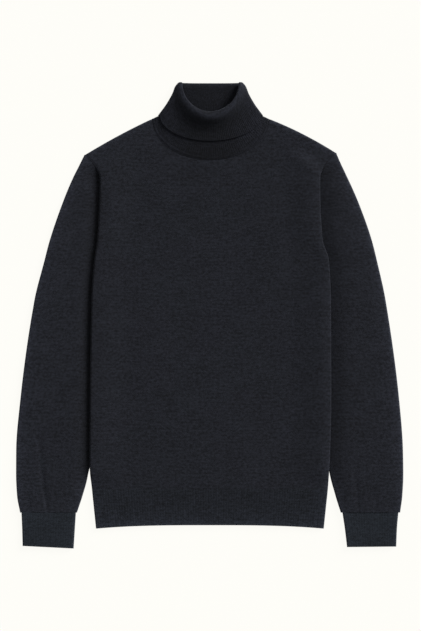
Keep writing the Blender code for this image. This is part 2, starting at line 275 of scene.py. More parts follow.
def read(table: tuple[NamedTuple, ...], name: str, up: np.ndarray) -> np.ndarray:
    """Reads a named column of a table at the heights up."""
    return through([row.up for row in table], [getattr(row, name) for row in table], up)


def sloped(low: float, high: float, count: int) -> np.ndarray:
    """Returns count + 1 places from low to high, evenly spaced."""
    return np.linspace(low, high, count + 1)


def normals(grid: np.ndarray, ring: bool) -> np.ndarray:
    """Unit normals of a grid of points.

    Each is the cross product of the differences along the columns and along the rows.

    Args:
        grid: points, rows by columns by three.
        ring: whether the last column joins the first.

    Returns:
        The normals, in the shape of the grid. They point up where the columns run to +X and the rows to +Y.
    """
    if ring:
        across = np.roll(grid, -1, axis=1) - np.roll(grid, 1, axis=1)
    else:
        across = np.gradient(grid, axis=1)
    cross = np.cross(across, np.gradient(grid, axis=0))
    return cross / np.maximum(np.linalg.norm(cross, axis=2, keepdims=True), 1e-9)


def bell(distance: np.ndarray, width: float) -> np.ndarray:
    """A bell curve, 1 at no distance: e to the power of minus the square of distance over width."""
    return np.exp(-((distance / width) ** 2))


def creased(grid: np.ndarray, creases: tuple[Crease, ...]) -> np.ndarray:
    """How far each point of a grid is sunk by soft creases.

    A crease is a bell curve of the distance from its line. It fades in over half its length, and out over a
    third.

    Args:
        grid: points in millimetres, with up as their second value.
        creases: the creases.

    Returns:
        Depths, rows by columns.
    """
    x, up = grid[..., 0], grid[..., 1]
    depth = np.zeros(x.shape)
    for crease in creases:
        run = np.array([crease.x1 - crease.x0, crease.up1 - crease.up0])
        length = np.linalg.norm(run)
        along = ((x - crease.x0) * run[0] + (up - crease.up0) * run[1]) / length**2
        aside = ((x - crease.x0) * run[1] - (up - crease.up0) * run[0]) / length
        ends = smooth(along / 0.45 + 0.2) * smooth((1 - along) / 0.33 + 0.35)
        depth += crease.depth * ends * bell(aside, crease.width)
    return depth


def rolling(grid: np.ndarray, phase: float) -> np.ndarray:
    """Low swells of cloth smoothed by hand: three slow waves in different ways, cut off where they sink."""
    x, up = grid[..., 0], grid[..., 1]
    waves = (
        0.20 * np.sin(x / 41 + up / 97 + phase)
        + 0.16 * np.sin(x / 73 - up / 38 + 2.1 * phase)
        + 0.10 * np.sin(x / 23 + up / 61 + 0.7 + 3.3 * phase)
    )
    return np.maximum(waves, LOWEST_SWELL)


def ribs(across: np.ndarray, depth: float) -> np.ndarray:
    """Rib ridges about their mean height: the size of a sine, with one half wave to each rib."""
    return (np.abs(np.sin(np.pi * across / RIB_PITCH)) - RIB_MEAN) * depth


def folded_columns(level: np.ndarray, fold_steps: int) -> tuple[np.ndarray, np.ndarray]:
    """Adds a quarter fold to one half's columns, and mirrors them.

    Args:
        level: the level columns' shares of the half width, from 0 to 1.
        fold_steps: columns round a side's quarter fold.

    Returns:
        Each column's share of the half width less the fold, from -X to +X, and its angle round the fold.
    """
    share = np.concatenate([level, np.ones(fold_steps)])
    angle = np.concatenate([np.full(len(level), np.pi / 2), sloped(np.pi / 2, FOLD_END, fold_steps)[1:]])
    return np.concatenate([-share[:0:-1], share]), np.concatenate([angle[:0:-1], angle])


def edged(rows: np.ndarray, share: float = 0.06) -> np.ndarray:
    """Adds a row close inside each end, a share of the way to the next, so that little of it is rounded."""
    low = rows[:1] + share * (rows[1:2] - rows[:1])
    high = rows[-1:] + share * (rows[-2:-1] - rows[-1:])
    return np.concatenate([rows[:1], low, rows[1:-1], high, rows[-1:]])


def add_object(name: str, data: bpy.types.ID) -> bpy.types.Object:
    """Makes an object of a mesh, light or camera, and links it into the scene."""
    made = bpy.data.objects.new(name, data)
    bpy.context.scene.collection.objects.link(made)
    return made


def knitted_sheet(
    name: str,
    grid: np.ndarray,
    knit: np.ndarray,
    wall: float,
    material: bpy.types.Material,
    rim: np.ndarray,
    ring: bool,
    turned: bool,
) -> bpy.types.Object:
    """Makes one piece of cloth: quads on a grid, with its knit's own UV map, made a closed wall by Solidify.

    Args:
        name: the piece's name.
        grid: points of the middle surface in millimetres, rows by columns by three.
        knit: the knit's coordinates across the wales and along them, one column more for a ring.
        wall: the cloth's thickness in millimetres.
        material: the finish.
        rim: the painted highlight and shade, how much paler than the yarn each point is, as a share, or
            darker below 0.
        ring: whether the last column joins the first.
        turned: whether the faces have to be turned round to point outwards.

    Returns:
        The new object, at the origin.
    """
    grid, knit, rim = edged(grid), edged(knit), edged(np.broadcast_to(rim, grid.shape[:2]))
    rows, columns = grid.shape[:2]
    left, low = np.meshgrid(np.arange(columns if ring else columns - 1), np.arange(rows - 1))
    corners = [(low, left), (low, left + 1), (low + 1, left + 1), (low + 1, left)]
    if turned:
        corners = corners[::-1]
    faces = np.stack([row * columns + column % columns for row, column in corners], axis=-1).reshape(-1, 4)
    uvs = np.stack([knit[row, column] for row, column in corners], axis=2).reshape(-1, 2) * MM
    points = (grid - (0.0, ORIGIN_UP, 0.0)).reshape(-1, 3) * MM

    mesh = bpy.data.meshes.new(name)
    mesh.vertices.add(len(points))
    mesh.vertices.foreach_set("co", points.astype(np.float32).ravel())
    mesh.loops.add(faces.size)
    mesh.loops.foreach_set("vertex_index", faces.astype(np.int32).ravel())
    mesh.polygons.add(len(faces))
    mesh.polygons.foreach_set("loop_start", np.arange(0, faces.size, 4, dtype=np.int32))
    mesh.polygons.foreach_set("use_smooth", np.ones(len(faces), dtype=bool))
    mesh.update(calc_edges=True)
    mesh.uv_layers.new(name="knit").data.foreach_set("uv", uvs.astype(np.float32).ravel())
    # The painted highlight and shade goes to the finish as a point attribute.
    mesh.attributes.new("rim", "FLOAT", "POINT").data.foreach_set("value", rim.astype(np.float32).ravel())
    mesh.materials.append(material)
    mesh.validate()

    piece = add_object(name, mesh)
    solidify = piece.modifiers.new("wall", "SOLIDIFY")
    solidify.thickness = wall * MM
    solidify.offset = 0.0
    solidify.use_even_offset = False
    return piece


def painted_highlight(distance: np.ndarray, near: float, far: float) -> np.ndarray:
    """A painted highlight for the light that rounded edges catch: how much paler cloth is at a distance
    inside its outline, one quick and one slow exponential fall.
    """
    distance = np.maximum(distance, 0.0)
    return near * np.exp(-distance / NEAR_FALL) + far * np.exp(-distance / FAR_FALL)


@dataclass
class Plan:
    """The lie of the whole sweater: its outline and the heights of its layers, shared by every piece."""

    jersey: float = 1.6
    rib: float = 2.2
    fold_radius: float = 2.2
    tip_up: float = 617.5
    tip_half: float = 208.7
    neck_up: float = 677.0
    neck_half: float = 98.0
    bow_right: float = 2.0
    bow_left: float = 3.4
    rise_left: float = 3.2
    row_bend_up: float = 300.0
    hem_up: float = 61.5
    sleeve_lift: float = 4.1
    lift_gap: float = 3.0
    lift_run: float = 62.0
    inner_z: float = 2.8
    sleeve_z: float = 6.1

    @property
    def back_z(self) -> float:
        """Height of the middle of the back's cloth."""
        return self.jersey / 2

    @property
    def neck_share(self) -> float:
        """The neck point's share of the half width between the shoulder folds."""
        return self.neck_half / (self.tip_half - self.fold_radius)

    def half(self, up: np.ndarray, side: np.ndarray) -> np.ndarray:
        """Half width of the body at the heights up, on the sides given as signs of X."""
        return np.where(side < 0, read(BODY, "right", up), read(BODY, "left", up))

    def under(self, up: np.ndarray, side: np.ndarray) -> np.ndarray:
        """How far the sleeves' inner edges lie under the body's edge."""
        return np.where(side < 0, read(SLEEVE, "under_right", up), read(SLEEVE, "under_left", up))

    def bend(self, up: np.ndarray) -> np.ndarray:
        """How far a row has bent to run along the shoulder: 0 low down, smoothly to 1 at the tip."""
        return smooth((up - self.row_bend_up) / (self.tip_up - self.row_bend_up))

    def lift(self, x: np.ndarray, up: np.ndarray) -> np.ndarray:
        """How far the body rides up over the sleeve's edge: fully at its own edge, and not further in."""
        side = np.where(x < 0, -1, 1)
        inward = self.half(up, side) - side * x - np.maximum(self.under(up, side), 0) - self.lift_gap
        return self.sleeve_lift * read(BODY, "lift", up) * (1 - smooth(inward / self.lift_run))

    def top(self, x: np.ndarray, neck_drop: float) -> np.ndarray:
        """Height of a panel's top edge.

        A shoulder is a straight line with a slight bow, a parabola. The neckline is half an ellipse.

        Args:
            x: the places across.
            neck_drop: how far the neckline hangs below the neck points.

        Returns:
            The heights, in the shape of x.
        """
        share = np.clip((np.abs(x) - self.neck_half) / (self.tip_half - self.neck_half), 0, 1)
        bow = 4 * np.where(x < 0, self.bow_right, self.bow_left) * share * (1 - share)
        rise = self.tip_up - self.neck_up + (x > 0) * self.rise_left
        shoulder = self.neck_up + rise * share + bow
        across = np.clip(np.abs(x) / self.neck_half, 0, 1)
        neckline = self.neck_up - neck_drop * np.sqrt(1 - across**2)
        return np.where(np.abs(x) < 0.999 * self.neck_half, neckline, shoulder)


@dataclass
class Piece:
    """One piece of cloth. Each class below gives its points, its node's name and its cut's flat size."""

    plan: Plan
    slot: ClassVar[str] = "rib"
    ring: ClassVar[bool] = False

    @property
    def area(self) -> float:
        """The cut's area in square metres, where it is a rectangle."""
        return self.flat[0] * self.flat[1]

    @property
    def wall(self) -> float:
        """The cloth's thickness without its ribs."""
        return self.plan.jersey

    @property
    def rests_on(self) -> list[str]:
        """The nodes that the piece lies on."""
        return []

    def build(self, material: bpy.types.Material) -> None:
        """Makes the piece and puts it in its node's place.

        Args:
            material: the finish.
        """
        grid, knit, rim = self.points()
        name = f"{self.name}_knit"
        sheet = knitted_sheet(name, grid, knit, self.wall, material, rim, self.ring, self.turned)
        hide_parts(self.name)
        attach(sheet, "root")
        LOG.info("%s: %d faces before its wall", sheet.name, len(sheet.data.polygons))


@dataclass
class Panel(Piece):
    """The front or the back: one layer of plain knit from the hem to the shoulders and the neckline."""

    face: Face
    neck_drop: float
    creases: tuple[Crease, ...]
    neck_steps: int = 26
    side_steps: int = 34
    fold_steps: int = 8
    row_step: float = 4.6
    seam_turn: float = 50.0
    drop_right: float = 0.2
    drop_left: float = 1.4
    edge_run: float = 15.0
    steady_run: float = 260.0
    # fold_shade is a painted shade in the side fold on -X, beside the sleeve.
    fold_shade: float = 0.6
    fold_shade_width: float = 1.3
    bead: float = 0.45
    bead_in: float = 2.6
    bead_width: float = 1.1
    flat: tuple[float, float] = (0.43, 0.62)
    area: float = 0.235
    slot: ClassVar[str] = "jersey"

    @property
    def name(self) -> str:
        """The panel's node."""
        return self.face.name.lower()

    @property
    def turned(self) -> bool:
        """Whether the faces have to be turned round to point outwards."""
        return self.face is Face.BACK

    @property
    def rests_on(self) -> list[str]:
        """The nodes that the panel lies on."""
        return (["back"] if self.face is Face.FRONT else []) + ["sleeve_right", "sleeve_left"]

    def rim(self, grid: np.ndarray) -> np.ndarray:
        """Painted highlight along the shoulders and at the low side folds, and painted shade in the -X side's
        fold.
        """
        plan, x, up = self.plan, grid[..., 0], grid[..., 1]
        shoulder = np.where(np.abs(x) > plan.neck_half, plan.top(x, self.neck_drop) - up, FAR_AWAY)
        side = plan.half(np.clip(up, plan.hem_up, plan.tip_up), np.where(x < 0, -1, 1)) - np.abs(x)
        between = smooth((598 - up) / 20) * smooth((up - 75) / 30)
        # Painted shade in the -X side's fold, beside the sleeve's groove.
        fold = self.fold_shade * (x < 0) * bell(side, self.fold_shade_width) * between
        return painted_highlight(shoulder, 0.85, 0.10) + smooth((150 - up) / 90) * painted_highlight(side, 0.5, 0.1) - fold

    def rows(self) -> tuple[np.ndarray, np.ndarray]:
        """Heights of the rows at the body's edge and their angles round the shoulder's fold.

        The seam lies a little to the front of the fold, so the front's last angle is above the mid height and
        the back's beyond it.

        Returns:
            The heights and the angles.
        """
        plan = self.plan
        foot, head = plan.hem_up - 0.4, plan.tip_up - 6.0
        level = sloped(foot, head, round((head - foot) / self.row_step))
        last = np.radians(self.seam_turn) * self.face.value
        turn = sloped(np.pi / 2, last, 10 if self.face is Face.BACK else 6)
        ups = np.concatenate([level, plan.tip_up - plan.fold_radius * (1 - np.cos(turn))])
        return ups, np.concatenate([np.full(len(level), np.pi / 2), turn])

    def points(self) -> Cloth:
        """The panel's middle surface, its knit coordinates and its painted highlight and shade.

        A point is its column's share of the half width across, and up its row, which bends to run along the
        shoulders near the top. There, the columns inside the neck points run straight up. Its height is the
        level cloth's, which curls round a quarter circle to the mid height at the side seams and past it at
        the shoulders, plus the lift over the sleeves' edges, low swells, creases and the armholes' bead.

        Returns:
            The grid, the knit coordinates and the painted highlight and shade.
        """
        plan, radius, front = self.plan, self.plan.fold_radius, self.face is Face.FRONT
        level = np.concatenate(
            [
                plan.neck_share * np.sin(sloped(0, np.pi / 2, self.neck_steps)),
                sloped(plan.neck_share, 1.0, self.side_steps)[1:],
            ]
        )
        share, angle = (row[None, :] for row in folded_columns(level, self.fold_steps))
        up, row_angle = (column[:, None] for column in self.rows())
        side = np.where(share < 0, -1, 1)
        half, curl_at = plan.half(up, side), read(BODY, "curl", up)
        inner = 1 - smooth((np.abs(share) - plan.neck_share) / (1 - plan.neck_share))
        width = half + smooth((up - plan.row_bend_up) / self.steady_run) * inner * (plan.tip_half - half)
        x = share * (width - radius) + side * radius * np.cos(angle)
        x_at_tip = share * (plan.tip_half - radius) + side * radius * np.cos(angle)
        height = up + plan.bend(up) * (plan.top(x_at_tip, self.neck_drop) - plan.tip_up)
        at_shoulder = 1 - (1 - np.clip(np.abs(x_at_tip) / plan.neck_half, 0, 1) ** 2) ** (1 / 16)
        curl = 1 - curl_at * (1 - np.sin(angle))
        curl = curl * (1 - at_shoulder * (1 - np.sin(row_angle)))
        z = plan.back_z + radius * (1 + self.face.value * curl) + plan.lift(x, up)
        inward = half - side * x
        if front:
            near = 1 - np.clip(inward / self.edge_run, 0, 1)
            z = z - np.where(side < 0, self.drop_right, self.drop_left) * near**2 * np.sin(angle) * curl_at
        grid = np.stack(np.broadcast_arrays(x, height, z), axis=-1)
        swell = rolling(grid, 0.4 * self.face.value) if front else 0.0
        inside = smooth(inward / 14) * smooth((plan.tip_up - up) / 20)
        grid[..., 2] += inside * (swell - creased(grid, self.creases))
        if front:
            grid[..., 2] += self.bead * bell(inward - self.bead_in, self.bead_width) * smooth((up - 575) / 18)
        return grid, grid[..., :2], self.rim(grid)


@dataclass
class Hem(Piece):
    """The front or the back of the ribbed hem, with real ribs down it and a rounded lower edge."""

    face: Face
    corner_drop: float = 5.5
    rib_depth: float = 0.20
    knit_half: float = 190.0
    to_rib: int = 6
    edge_drop: float = 1.3
    row_step: float = 3.4
    flat: tuple[float, float] = (0.40, 0.066)

    @property
    def name(self) -> str:
        """The hem's node."""
        return f"hem_{self.face.name.lower()}"

    @property
    def turned(self) -> bool:
        """Whether the faces have to be turned round to point outwards."""
        return self.face is Face.BACK

    @property
    def rests_on(self) -> list[str]:
        """The nodes that this half of the hem lies on."""
        return ["hem_back"] if self.face is Face.FRONT else []

    def points(self) -> Cloth:
        """The hem's middle surface, its knit coordinates and its painted highlight and shade.

        A point is its column's share of the half width across. Rows run evenly from the lower edge, whose
        corners hang a little, to the body. The height is level, curls to the mid height at the sides, and
        ribs stand out.

        Returns:
            The grid, the knit coordinates and the painted highlight and shade.
        """
        plan, radius = self.plan, self.plan.fold_radius
        level = sloped(0, 1, round(2 * self.knit_half / RIB_PITCH) * self.to_rib // 2)
        share, angle = (row[None, :] for row in folded_columns(level, 6))
        drop = sloped(1, 0, round(plan.hem_up / self.row_step))[:, None]
        side = np.where(share < 0, -1, 1)
        up = plan.hem_up - (plan.hem_up + self.corner_drop * np.abs(share) ** 3) * drop
        half = plan.half(up, side)
        x = share * (half - radius) + side * radius * np.cos(angle)
        lift = (plan.rib - plan.jersey) / 2 * smooth(drop * plan.hem_up / 5.0)
        z = plan.back_z + lift + radius * (1 + self.face.value * np.sin(angle)) + plan.lift(x, up)
        if self.face is Face.FRONT:
            z = z - self.edge_drop * drop**2
        grid = np.stack(np.broadcast_arrays(x, up, z), axis=-1)
        across = share * self.knit_half + side * radius * (np.pi / 2 - angle)
        knit = np.stack(np.broadcast_arrays(across, up), axis=-1)
        above, below = (1 - drop) * plan.hem_up, drop * plan.hem_up
        ends = smooth(above / 3.0 + 0.25) * smooth(below / 3.0 + 0.35)
        ribbed = ribs(knit[..., 0], self.rib_depth) * ends * np.where(np.sin(angle) > 0.2, 1.0, 0.4)
        # Painted highlight towards the lower edge and the side folds.
        rim = painted_highlight(above, 0.85, 0.62) + painted_highlight(half - side * x, 0.7, 0.12)
        return grid + normals(grid, False) * self.face.value * ribbed[..., None], knit, rim


@dataclass
class Sleeve(Piece):
    """One sleeve: a single piece of plain knit, folded flat, with its seam along the inner edge."""

    side: Side
    groove: float
    slope_run: float
    full: float
    # shade and seam_shade are painted shade beside the body's edge and along the armhole seam; outline is the
    # slow part of the painted highlight at the outer fold.
    shade: float
    shade_run: float
    outline: float
    seam_shade: float = 0.5
    seam_shade_width: float = 1.8
    cuff_full: float = 0.66
    crown: float = 1.3
    crown_run: float = 26.0
    bead: float = 0.4
    foot: float = 21.2
    head: float = 616.8
    row_step: float = 4.4
    tip_close: float = 0.6
    flat: tuple[float, float] = (0.27, 0.60)
    area: float = 0.119
    slot: ClassVar[str] = "jersey"

    @property
    def name(self) -> str:
        """The sleeve's node."""
        return f"sleeve_{self.side.name.lower()}"

    @property
    def turned(self) -> bool:
        """Whether the faces have to be turned round to point outwards."""
        return self.side is Side.RIGHT

    def climb(self, beyond: np.ndarray) -> np.ndarray:
        """Share of its full height that the front layer has, at a distance beyond the body's edge.

        Where there is a groove beside the body, it is a level floor and then a smooth rise. Elsewhere it is a
        parabola that levels out.

        Args:
            beyond: the distances.

        Returns:
            The shares, in the shape of beyond.
        """
        slope = np.clip((beyond + 1.0) / self.slope_run, 0, 1)
        return smooth((beyond - self.groove) / self.slope_run) if self.groove > 0 else 1 - (1 - slope) ** 2

    def points(self) -> Cloth:
        """The sleeve's middle surface, its knit coordinates and its painted highlight and shade.

        Each row is a flattened ring cut open at the inner seam: a quarter circle up from the seam, the front
        layer, which climbs from under the body's edge and rounds off at the outer side, half a circle over
        the outer fold, the level back layer, and a quarter circle back up to the seam. The last row closes
        the end at the tip.

        Returns:
            The grid, the knit coordinates and the painted highlight and shade.
        """
        plan, sign = self.plan, self.side.value
        ups = sloped(self.foot, self.head, round((self.head - self.foot) / self.row_step))
        closing = np.append(np.zeros(len(ups)), 1.0)[:, None]
        ups = np.append(ups, ups[-1] + self.tip_close)[:, None]
        tucked = plan.under(ups, np.full(ups.shape, sign))
        outer = read(SLEEVE, f"outer_{self.side.name.lower()}", ups)
        inner = plan.half(ups, np.full(ups.shape, sign)) - tucked
        rise = plan.sleeve_z - plan.inner_z
        edge_z = plan.inner_z + rise * read(SLEEVE, "edge_full", ups)
        fullness = self.cuff_full + (self.full - self.cuff_full) * smooth((ups - 20) / 60)
        full_z = plan.inner_z + rise * read(SLEEVE, "full", ups) * fullness
        inner_radius, outer_radius = (edge_z - plan.back_z) / 2, (full_z - plan.back_z) / 2
        curl = inner_radius * read(BODY, "curl", ups)
        start = inner + curl
        flat = np.maximum(outer - inner - outer_radius - curl, 0.2)

        quarter = sloped(FOLD_END, np.pi / 2, 6)[None, :-1]
        half_turn = sloped(np.pi / 2, -np.pi / 2, 14)[None, 1:-1]
        run = sloped(0, 1, 54)[None, :] ** 1.35
        back = sloped(1, 0, 24)[None, :]
        beyond = start + run * flat - inner - np.maximum(tucked, 0)
        inward = np.clip((1 - run) * flat / np.minimum(self.crown_run, 0.45 * flat), 0, 1)
        crown = self.crown * (1 - (1 - inward) ** 2) * smooth(beyond / 24) * smooth((612 - ups) / 50)
        x = np.concatenate(
            [
                start - curl * np.cos(quarter),
                start + run * flat,
                start + flat + outer_radius * np.cos(half_turn),
                start + back * flat,
                start - curl * np.cos(quarter[:, ::-1]),
            ],
            axis=1,
        )
        z = np.concatenate(
            [
                edge_z - curl * (1 - np.sin(quarter)),
                edge_z + (full_z - edge_z) * self.climb(beyond) + crown,
                plan.back_z + outer_radius * (1 + np.sin(half_turn)),
                np.full((len(ups), back.shape[1]), plan.back_z),
                plan.back_z + curl * (1 - np.sin(quarter[:, ::-1])),
            ],
            axis=1,
        )
        z += closing * ((plan.back_z + full_z) / 2 - z)
        heights = ups + (sign > 0) * plan.rise_left * plan.bend(ups)
        grid = np.stack([sign * x, np.broadcast_to(heights, x.shape), z], axis=-1)
        seam_end, front_end = quarter.shape[1], quarter.shape[1] + run.shape[1]
        front = np.arange(x.shape[1])[None, :] < front_end
        inside = smooth((outer - x) / 16) * smooth((x - inner) / 10) * front
        grid[..., 2] += inside * (rolling(grid, 1.3 * sign) - creased(grid, SLEEVE_CREASES[self.side]))
        grid[..., 2] += front * self.bead * bell(x - inner - 1.6, 0.9) * smooth((ups - 580) / 14)

        along = np.linalg.norm(np.diff(grid, axis=1), axis=2)
        around = np.concatenate([np.zeros((len(ups), 1)), np.cumsum(along, axis=1)], axis=1)
        around -= around[:, front_end : front_end + 1]
        length = np.cumsum(np.hypot(np.gradient(ups[:, 0]), np.gradient(outer[:, 0])))
        knit = np.stack([around, np.broadcast_to(length[:, None], x.shape)], axis=-1)
        # Painted highlight at the outer fold and, low down, at the inner edge; painted shade beside the
        # body's edge and along the armhole seam.
        wrist_highlight = smooth((110 - ups) / 60) * painted_highlight(x - inner, 0.5, 0.15)
        rim = painted_highlight(outer - x, 0.9, self.outline) + wrist_highlight
        past = np.maximum(beyond, 0)
        shade = self.shade * bell(past, self.shade_run) * smooth((608 - ups) / 30) * smooth((ups - 70) / 40)
        seam = self.seam_shade * bell(past, self.seam_shade_width) * smooth((ups - 580) / 12)
        rim[:, seam_end:front_end] -= shade + seam
        return grid, knit, rim


@dataclass
class Cuff(Piece):
    """One ribbed cuff: a flat tube with real ribs along it."""

    side: Side
    rib_depth: float = 0.13
    to_rib: int = 8
    rows: int = 18
    row_length: float = 30.0
    level_width: float = 82.0
    top_z: float = 5.2
    knit_shift: float = 340.0
    flat: tuple[float, float] = (0.182, 0.060)
    ring: ClassVar[bool] = True

    @property
    def name(self) -> str:
        """The cuff's node."""
        return f"cuff_{self.side.name.lower()}"

    @property
    def turned(self) -> bool:
        """Whether the faces have to be turned round to point outwards."""
        return self.side is Side.RIGHT

    def points(self) -> Cloth:
        """The cuff's middle surface, its knit coordinates and its painted highlight and shade.

        A ring is two level layers joined by half circles. Its points are even in length round it, so that the
        ribs are too, and the ribs stand out from the ring.

        Returns:
            The grid, the knit coordinates and the painted highlight and shade.
        """
        table, sign = CUFFS[self.side], self.side.value
        at = sloped(2, 0, self.rows)[:, None]
        outer, outer_up, inner, inner_up = (
            through([0, 1, 2], [getattr(row, name) for row in table], at) for name in CuffRow._fields[1:]
        )
        low = self.plan.rib / 2
        radius = (self.top_z - low) / 2
        arc = np.pi * radius
        level = outer - inner - 2 * radius
        count = round(2 * (self.level_width + arc) / RIB_PITCH) * self.to_rib
        way = np.arange(count)[None, :] / count * 2 * (level + arc)
        parts = [way < level, way < level + arc, way < 2 * level + arc]
        round_outer, round_inner = (way - level) / radius, (way - 2 * level - arc) / radius
        near, far = inner + radius, outer - radius
        over = [near + way, far + radius * np.sin(round_outer), far - (way - level - arc)]
        x = np.select(parts, over, near - radius * np.sin(round_inner))
        rise = np.select(parts, [1.0, np.cos(round_outer), -1.0], -np.cos(round_inner))
        up = inner_up + (outer_up - inner_up) * (x - inner) / (outer - inner)
        grid = np.stack([sign * x, up, low + radius * (1 + rise)], axis=-1)
        spread = np.linspace(0, 1, count + 1)[None, :] * count / self.to_rib * RIB_PITCH
        knit = np.stack(np.broadcast_arrays(spread, at * self.row_length - sign * self.knit_shift), axis=-1)
        fade = smooth((2 - at) * 12 + 0.35) * smooth(at * 12 + 0.3)
        ribbed = ribs(knit[:, :-1, 0], self.rib_depth) * fade
        # Painted highlight towards both folds.
        rim = painted_highlight(np.minimum(x - inner, outer - x), 0.354, 0.075)
        return grid + normals(grid, True) * sign * ribbed[..., None], knit, rim


@dataclass
class Collar(Piece):
    """The collar: one ribbed tube that stands up from the neck, rolls over and comes down outside itself."""

    front_ribs: int = 62
    back_ribs: int = 48
    to_rib: int = 6
    rows: int = 66
    rib_depth: float = 0.32
    flat: tuple[float, float] = (0.46, 0.132)
    area: float = 0.052
    wall: float = 1.5
    name: ClassVar[str] = "collar"
    ring: ClassVar[bool] = True
    turned: ClassVar[bool] = True

    @property
    def rests_on(self) -> list[str]:
        """The nodes that the collar lies on."""
        return ["front", "back"]

    def half_ring(self, ring: dict[str, float], face: Face, count: int) -> np.ndarray:
        """Points along the front or the back of one ring.

        A half ring is half a superellipse in plan, of the ring's own squareness, which climbs from its side
        folds to its middle. Its points are even in length along it, from +X to -X.

        Args:
            ring: the ring's sizes.
            face: the half wanted.
            count: steps along it.

        Returns:
            count + 1 points.
        """
        half = face.name.lower()
        up, z, square = (ring[f"{half}_{name}"] for name in ("up", "z", "n"))
        turn = np.linspace(0, np.pi, 361)
        sine = np.maximum(np.sin(turn), 0)
        level = ring["side_z"] + face.value * ring["fold"]
        points = np.stack(
            [
                (ring["half"] - ring["fold"]) * np.sign(np.cos(turn)) * np.abs(np.cos(turn)) ** (2 / square),
                ring["side_up"] + (up - ring["side_up"]) * sine ** (2 / square),
                level + (z - level) * sine ** (2 / 3),
            ],
            axis=1,
        )
        along = np.concatenate([[0], np.cumsum(np.linalg.norm(np.diff(points, axis=0), axis=1))])
        at = np.linspace(0, along[-1], count + 1)
        return np.stack([np.interp(at, along, points[:, k]) for k in range(3)], axis=1)

    def ring_points(self, ring: dict[str, float]) -> np.ndarray:
        """One whole ring: the front, half a circle at the -X fold, the back, and the same at the +X fold."""
        front = self.half_ring(ring, Face.FRONT, self.front_ribs * self.to_rib)
        back = self.half_ring(ring, Face.BACK, self.back_ribs * self.to_rib)[::-1]
        turn = sloped(np.pi / 2, -np.pi / 2, self.to_rib)[1:-1]
        folds = [
            np.stack(
                [
                    side * (ring["half"] - ring["fold"] * (1 - np.cos(turn))),
                    np.full(turn.shape, ring["side_up"]),
                    ring["side_z"] + ring["fold"] * np.sin(turn) * -side,
                ],
                axis=1,
            )
            for side in (-1, 1)
        ]
        return np.concatenate([front, folds[0], back, folds[1]])

    def points(self) -> Cloth:
        """The collar's middle surface, its knit coordinates and its painted highlight and shade.

        Rows are rings read between those of the table, from the neck seam to the loose edge, closest together
        at the roll. Ribs stand out, and so do two beads along the neck seam.

        Returns:
            The grid, the knit coordinates and the painted highlight and shade.
        """
        at = np.interp(np.linspace(0, 1, self.rows + 1), (0.0, 0.42, 0.62, 1.0), (0.0, 4.2, 7.2, 10.0))
        order = list(range(len(COLLAR)))
        names = Ring._fields[1:]
        read_at = {name: through(order, [getattr(ring, name) for ring in COLLAR], at) for name in names}
        rings = [{name: values[k] for name, values in read_at.items()} for k in range(len(at))]
        grid = np.stack([self.ring_points(ring) for ring in rings])
        at, half = at[:, None], read_at["half"][:, None]
        middle = self.front_ribs * self.to_rib // 2
        length = np.linalg.norm(np.diff(grid[:, middle], axis=0), axis=1)
        along = np.concatenate([[0], np.cumsum(length)])[:, None]
        across = np.arange(grid.shape[1] + 1)[None, :] / self.to_rib * RIB_PITCH
        knit = np.stack(np.broadcast_arrays(across, along), axis=-1)
        edge = smooth((along[-1] - along) / 2.5 + 0.3)
        ribbed = ribs(knit[:, :-1, 0], self.rib_depth) * read_at["rib"][:, None] * edge
        beads = 0.45 * bell(along - 3.4, 1.1) + 0.25 * bell(along - 8.4, 0.9)
        x = np.abs(grid[..., 0])
        # Painted highlight on the stand, at the side folds of the rings from the roll on, towards both sides,
        # and along the roll's crest.
        stand_highlight = 0.35 * smooth(at - 1.6) * (1 - smooth(at - 4.5))
        side = painted_highlight(half - x, 0.30, 0.10) * smooth((at - 5) / 2) + 0.85 * smooth((x - 22) / 62)
        rim = 1.6 * bell(at - 6.2, 0.8) + stand_highlight + side
        return grid - normals(grid, True) * (ribbed + beads)[..., None], knit, rim


def new_group(
    name: str, inputs: dict[str, str], outputs: dict[str, str]
) -> tuple[bpy.types.NodeTree, bpy.types.Node, bpy.types.Node]:
    """Makes an empty shader node group with named sockets.

    Args:
        name: the group's name.
        inputs: socket types by name.
        outputs: socket types by name.

    Returns:
        The group, its input node and its output node.
    """
    tree = bpy.data.node_groups.new(name, "ShaderNodeTree")
    for socket, kind in inputs.items():
        tree.interface.new_socket(socket, in_out="INPUT", socket_type=kind)
    for socket, kind in outputs.items():
        tree.interface.new_socket(socket, in_out="OUTPUT", socket_type=kind)
    return tree, tree.nodes.new("NodeGroupInput"), tree.nodes.new("NodeGroupOutput")


def feed(tree: bpy.types.NodeTree, socket: bpy.types.NodeSocket, value: object) -> None:
    """Links a socket to another one, or sets its value."""
    if isinstance(value, bpy.types.NodeSocket):
        tree.links.new(value, socket)
    else:
        socket.default_value = value


def feed_all(tree: bpy.types.NodeTree, node: bpy.types.Node, values: dict[str, object]) -> None:
    """Feeds a node's sockets by name."""
    for name, value in values.items():
        feed(tree, node.inputs[name], value)


def placed(
    tree: bpy.types.NodeTree, group: bpy.types.NodeTree, values: dict[str, object]
) -> bpy.types.NodeSocket:
    """Places a group in a material, feeds its sockets by name, and returns its one output."""
    node = tree.nodes.new("ShaderNodeGroup")
    node.node_tree = group
    feed_all(tree, node, values)
    return node.outputs[0]


def math(tree: bpy.types.NodeTree, operation: str, *values: object) -> bpy.types.NodeSocket:
    """Adds a Math node fed with sockets or numbers, and returns its output."""
    node = tree.nodes.new("ShaderNodeMath")
    node.operation = operation
    for socket, value in zip(node.inputs, values):
        feed(tree, socket, value)
    return node.outputs[0]


